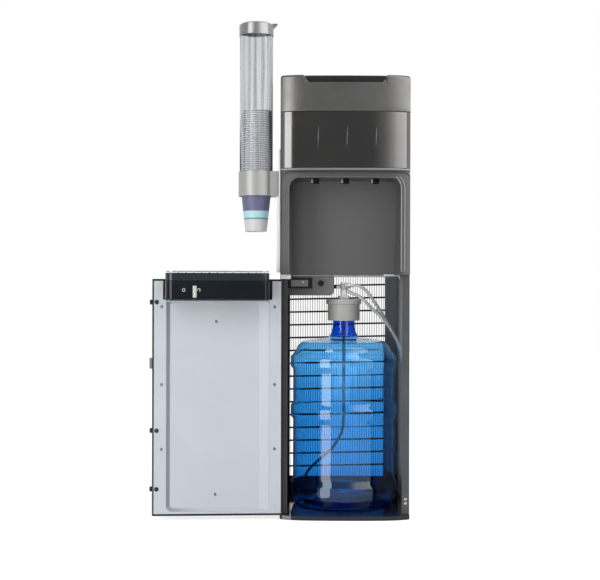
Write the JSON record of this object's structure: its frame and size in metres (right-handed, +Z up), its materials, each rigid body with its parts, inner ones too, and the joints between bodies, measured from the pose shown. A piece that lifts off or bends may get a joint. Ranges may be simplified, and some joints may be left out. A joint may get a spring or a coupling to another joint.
{
  "type": "bottom-loading water cooler",
  "caption": "Bottom-loading water cooler with its door open, a bottle with suction probe and hose, a drip tray on the door, push buttons and a side cup dispenser.",
  "frame": {"origin": "centre of the cabinet's footprint, on the underside of the base", "axes": "+Z up, -Y towards the user at the front, +X to the user's right"},
  "size_m": [0.6191, 0.4496, 1.19],
  "materials": {
    "black_moulding": "fine matt texture",
    "black_sheet": "satin black paint",
    "galvanised_steel": "plain",
    "silver_moulding": "satin metallic paint",
    "gloss_black": "polished",
    "graphite_moulding": "satin metallic grey",
    "white_plastic": "plain",
    "board_green": "lacquered",
    "switch_red": "plain",
    "liner_pale_grey": "vacuum-formed sheet",
    "black_rubber": "plain",
    "grille_steel": "brushed",
    "blue_bottle": "clear blue",
    "pale_plastic": "plain",
    "clear_plastic": "clear",
    "clear_silicone": "translucent",
    "satin_silver": "satin silver",
    "cup_paper": "plain white"
  },
  "bodies": {
    "cabinet": {"base_tray": "black_moulding", "top_cover": "black_moulding", "button_bezel": "black_moulding", "nozzle_left": "black_moulding", "nozzle_centre": "black_moulding", "nozzle_right": "black_moulding", "pump_housing": "black_moulding", "water_pump": "black_moulding", "power_inlet": "black_moulding", "left_side_panel": "black_sheet", "right_side_panel": "black_sheet", "rear_cover": "black_sheet", "compressor": "black_sheet", "condenser_coil": "black_sheet", "condenser_wires": "black_sheet", "condenser_bracket_left": "black_sheet", "condenser_bracket_right": "black_sheet", "deck_plate": "galvanised_steel", "tank_shelf": "galvanised_steel", "hot_tank": "galvanised_steel", "upper_hinge": "galvanised_steel", "lower_hinge_pin": "galvanised_steel", "front_fascia": "silver_moulding", "display_panel": "gloss_black", "door_switch_frame": "gloss_black", "switch_plate": "gloss_black", "drain_plug": "gloss_black", "front_frame": "graphite_moulding", "valve_left": "white_plastic", "valve_centre": "white_plastic", "valve_right": "white_plastic", "cold_tank": "white_plastic", "control_board": "board_green", "holder_rail": "pale_plastic", "cup_tube": "clear_plastic", "suction_hose": "clear_silicone", "cup_holder": "satin_silver", "cup_stack": "cup_paper"},
    "door": {"door_panel": "black_sheet", "door_liner": "liner_pale_grey", "tray_cradle": "gloss_black", "bumper_upper": "black_rubber", "bumper_middle": "black_rubber", "bumper_lower": "black_rubber", "latch_strike": "graphite_moulding"},
    "drip_tray": {"drip_tray": "gloss_black"},
    "drip_grille": {"drip_grille": "grille_steel"},
    "button_left": {"button_left": "gloss_black"},
    "button_centre": {"button_centre": "gloss_black"},
    "button_right": {"button_right": "gloss_black"},
    "door_switch_paddle": {"door_switch_paddle": "graphite_moulding"},
    "reset_button": {"reset_button": "gloss_black"},
    "cooling_switch": {"cooling_switch": "black_moulding"},
    "heater_switch": {"heater_switch": "switch_red"},
    "bottle": {"bottle": "blue_bottle", "probe_collar": "pale_plastic", "probe_elbow": "clear_plastic", "dip_tube": "clear_plastic"},
    "bottom_cup": {"bottom_cup": "cup_paper"},
    "tube_lid": {"tube_lid": "satin_silver"}
  },
  "joints": [
    {"name": "door_hinge", "type": "hinge", "parent": "cabinet", "child": "door", "pos_m": [-0.1515, -0.158, 0.0105], "axis": [0, 0, -1], "range_deg": [-177, 3]},
    {"name": "drip_tray_lift", "type": "slide", "parent": "door", "child": "drip_tray", "axis": [0, 0, 1], "range_m": [0, 0.05]},
    {"name": "drip_grille_lift", "type": "slide", "parent": "drip_tray", "child": "drip_grille", "axis": [0, 0, 1], "range_m": [0, 0.03]},
    {"name": "button_left_press", "type": "slide", "parent": "cabinet", "child": "button_left", "axis": [0, 0.7071, -0.7071], "range_m": [0, 0.0015], "stiffness_N_per_m": 400, "springref_m": -0.001},
    {"name": "button_centre_press", "type": "slide", "parent": "cabinet", "child": "button_centre", "axis": [0, 0.7071, -0.7071], "range_m": [0, 0.0015], "stiffness_N_per_m": 400, "springref_m": -0.001},
    {"name": "button_right_press", "type": "slide", "parent": "cabinet", "child": "button_right", "axis": [0, 0.7071, -0.7071], "range_m": [0, 0.0015], "stiffness_N_per_m": 400, "springref_m": -0.001},
    {"name": "door_switch_press", "type": "slide", "parent": "cabinet", "child": "door_switch_paddle", "axis": [0, 1, 0], "range_m": [0, 0.002], "stiffness_N_per_m": 300, "springref_m": -0.001},
    {"name": "reset_button_press", "type": "slide", "parent": "cabinet", "child": "reset_button", "axis": [0, 1, 0], "range_m": [0, 0.002], "stiffness_N_per_m": 300, "springref_m": -0.001},
    {"name": "cooling_switch_rock", "type": "hinge", "parent": "cabinet", "child": "cooling_switch", "pos_m": [0.072, 0.1785, 0.64], "axis": [1, 0, 0], "range_deg": [-12, 0]},
    {"name": "heater_switch_rock", "type": "hinge", "parent": "cabinet", "child": "heater_switch", "pos_m": [0.098, 0.1785, 0.64], "axis": [1, 0, 0], "range_deg": [-12, 0]},
    {"name": "bottle_slide", "type": "slide", "parent": "cabinet", "child": "bottle", "axis": [0, -1, 0], "range_m": [0, 0.32], "deforming": ["suction_hose"]},
    {"name": "bottom_cup_pull", "type": "slide", "parent": "cabinet", "child": "bottom_cup", "axis": [0, 0, -1], "range_m": [0, 0.105]},
    {"name": "tube_lid_lift", "type": "slide", "parent": "cabinet", "child": "tube_lid", "axis": [0, 0, 1], "range_m": [0, 0.04]}
  ]
}
